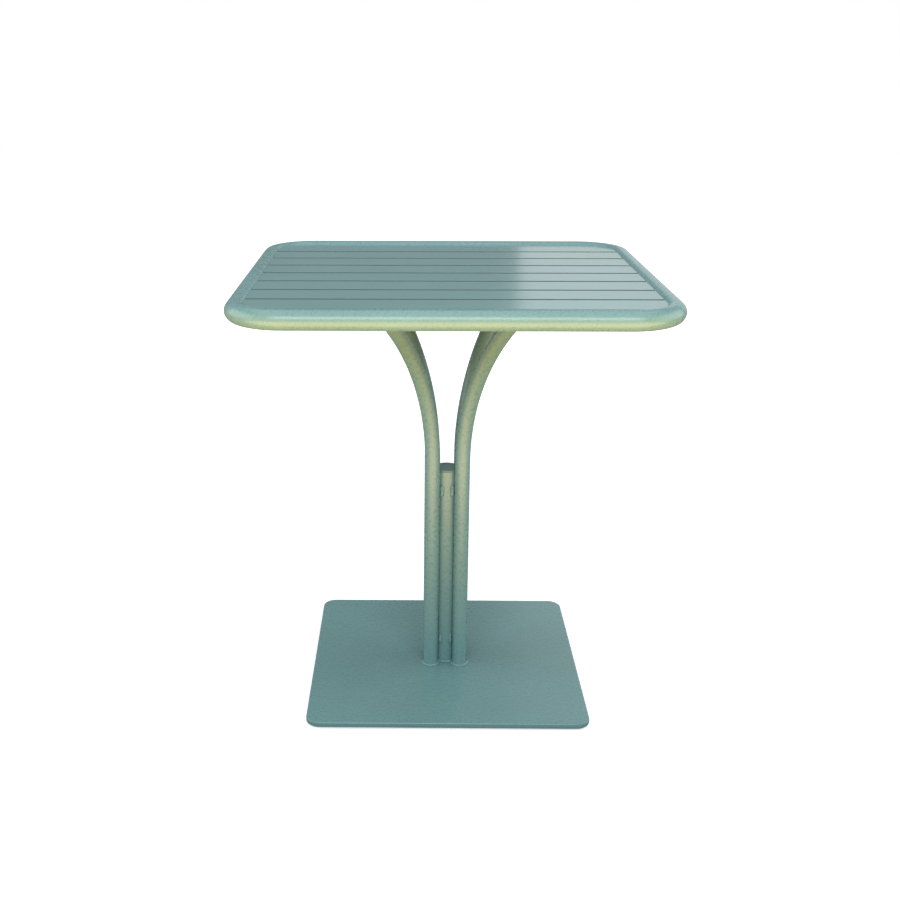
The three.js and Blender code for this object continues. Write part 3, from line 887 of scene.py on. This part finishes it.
# ------------------------------------------------------------ studio
def studio_material(name, colour, emission, far_emission=None):
    """A plain surface that glows a little; with far_emission, more so from 1.2 to 3 m out from the table."""
    nodes = Nodes(name)
    clouds = nodes.ranged(nodes.noise(1.5, 3), 0.3, 0.7, 0, 1)
    nodes.join(nodes.mixed(clouds, shade(colour, 0.995), colour), nodes.shader.inputs["Base Color"])
    nodes.shader.inputs["Roughness"].default_value = 0.9
    nodes.shader.inputs["Specular IOR Level"].default_value = 0.0
    nodes.shader.inputs["Emission Color"].default_value = (1, 1, 1, 1)
    nodes.shader.inputs["Emission Strength"].default_value = emission
    if far_emission:
        away = nodes.add("ShaderNodeVectorMath", operation="LENGTH")
        nodes.join(nodes.place, away.inputs[0])
        rising = nodes.ranged(away.outputs["Value"], 1.2, 3.0, emission, far_emission)
        nodes.join(rising, nodes.shader.inputs["Emission Strength"])
    return nodes.material


def make_floor():
    bm = bmesh.new()
    half = 14
    bm.faces.new(add_ring(bm, [(-half, -half, 0), (half, -half, 0), (half, half, 0), (-half, half, 0)]))
    mesh = bpy.data.meshes.new("floor")
    bm.to_mesh(mesh)
    bm.free()
    mesh.materials.append(studio_material("pale_floor", (0.86, 0.86, 0.85), 0.40, far_emission=1.0))
    floor = bpy.data.objects.new("floor", mesh)
    bpy.context.scene.collection.objects.link(floor)
    floor.visible_diffuse = False
    floor.visible_glossy = False


def make_backdrop():
    """A white dome that only the camera sees, so the table stands before plain white."""
    bm = bmesh.new()
    bmesh.ops.create_uvsphere(bm, u_segments=48, v_segments=24, radius=13)
    mesh = bpy.data.meshes.new("backdrop")
    bm.to_mesh(mesh)
    bm.free()
    mesh.materials.append(studio_material("white_backdrop", (0.0, 0.0, 0.0), 1.0))
    dome = bpy.data.objects.new("backdrop", mesh)
    bpy.context.scene.collection.objects.link(dome)
    dome.visible_diffuse = False
    dome.visible_glossy = False
    dome.visible_transmission = False
    dome.visible_shadow = False


def area_light(name, place, aim, width, height, colour, strength):
    """A soft panel of light, which the camera doesn't see. Its brightness doesn't depend on its size."""
    data = bpy.data.lights.new(name, "AREA")
    data.shape = "RECTANGLE"
    data.size = width
    data.size_y = height
    data.color = colour
    data.energy = strength * 4 * width * height
    made = bpy.data.objects.new(name, data)
    made.location = place
    made.rotation_euler = (Vector(aim) - Vector(place)).to_track_quat("-Z", "Y").to_euler()
    made.visible_camera = False
    bpy.context.scene.collection.objects.link(made)


CAMERA_PLACE = Vector((-0.0636, -2.0594, 1.1047))
CAMERA_DOWN = 0.3189
CAMERA_TURN = 0.0137


COOL = (0.86, 0.94, 1.0)  # as from an open sky
WARM = (1.0, 0.58, 0.22)  # as from sunlit ground
WHITE = (1.0, 1.0, 1.0)

# Soft panels round the table: name, place, aim, width, height, colour and strength.
LIGHTS = [
    ("overhead", (0, 0, 3.0), (0, 0, 0), 3.2, 3.2, WHITE, 1.0),
    ("front", (0, -3.4, 2.7), (0, 0, 0.4), 4.0, 1.6, COOL, 5.0),
    ("left", (-3.4, 0, 1.5), (0, 0, 0.6), 4.0, 2.4, WHITE, 1.5),
    ("right", (3.4, 0, 1.5), (0, 0, 0.6), 4.0, 2.4, WHITE, 1.5),
    ("ground", (0, -2.4, 0.03), (0, -2.4, 1), 5.0, 3.4, WARM, 4.5),
    ("window", (1.75, 3.2, 1.5), (1.75, 0, 1.5), 2.7, 2.0, WHITE, 0.5),
]
ROOM_LIGHT = 0.27


def make_lights():
    for light in LIGHTS:
        area_light(*light)


def make_world():
    world = bpy.data.worlds.new("studio")
    world.use_nodes = True
    background = world.node_tree.nodes["Background"]
    background.inputs["Color"].default_value = (*WHITE, 1)
    background.inputs["Strength"].default_value = ROOM_LIGHT
    bpy.context.scene.world = world


def make_camera():
    data = bpy.data.cameras.new("camera")
    data.sensor_width = 36
    data.lens = 48.21
    data.shift_x = 0.0597
    camera = bpy.data.objects.new("camera", data)
    camera.location = CAMERA_PLACE
    camera.rotation_euler = (math.pi / 2 - CAMERA_DOWN, 0, CAMERA_TURN)
    bpy.context.scene.collection.objects.link(camera)
    bpy.context.scene.camera = camera


# ------------------------------------------------------------ build
make_camera()
make_world()
make_lights()
make_floor()
make_backdrop()

make_rim()
make_rim_seam()
for slat_number in range(1, SLAT_COUNT + 1):
    make_slat(slat_number)
for side_name, side_sign in SIDES:
    make_rail(side_name, side_sign)
    make_mounting_bar(side_name, side_sign)
make_slat_tacks()

make_post()
make_cap()
make_foot_weld()
make_stitch_welds()
make_spatter()
for corner_name, corner_x, corner_y in CORNERS:
    make_column(corner_name, corner_x, corner_y)
    make_column_top_weld(corner_name, corner_x, corner_y)

make_base()
for corner_name, _, _ in CORNERS:
    make_washer(corner_name)
    make_bolt(corner_name)
    make_glide(corner_name)

bpy.context.scene.view_settings.view_transform = "Standard"
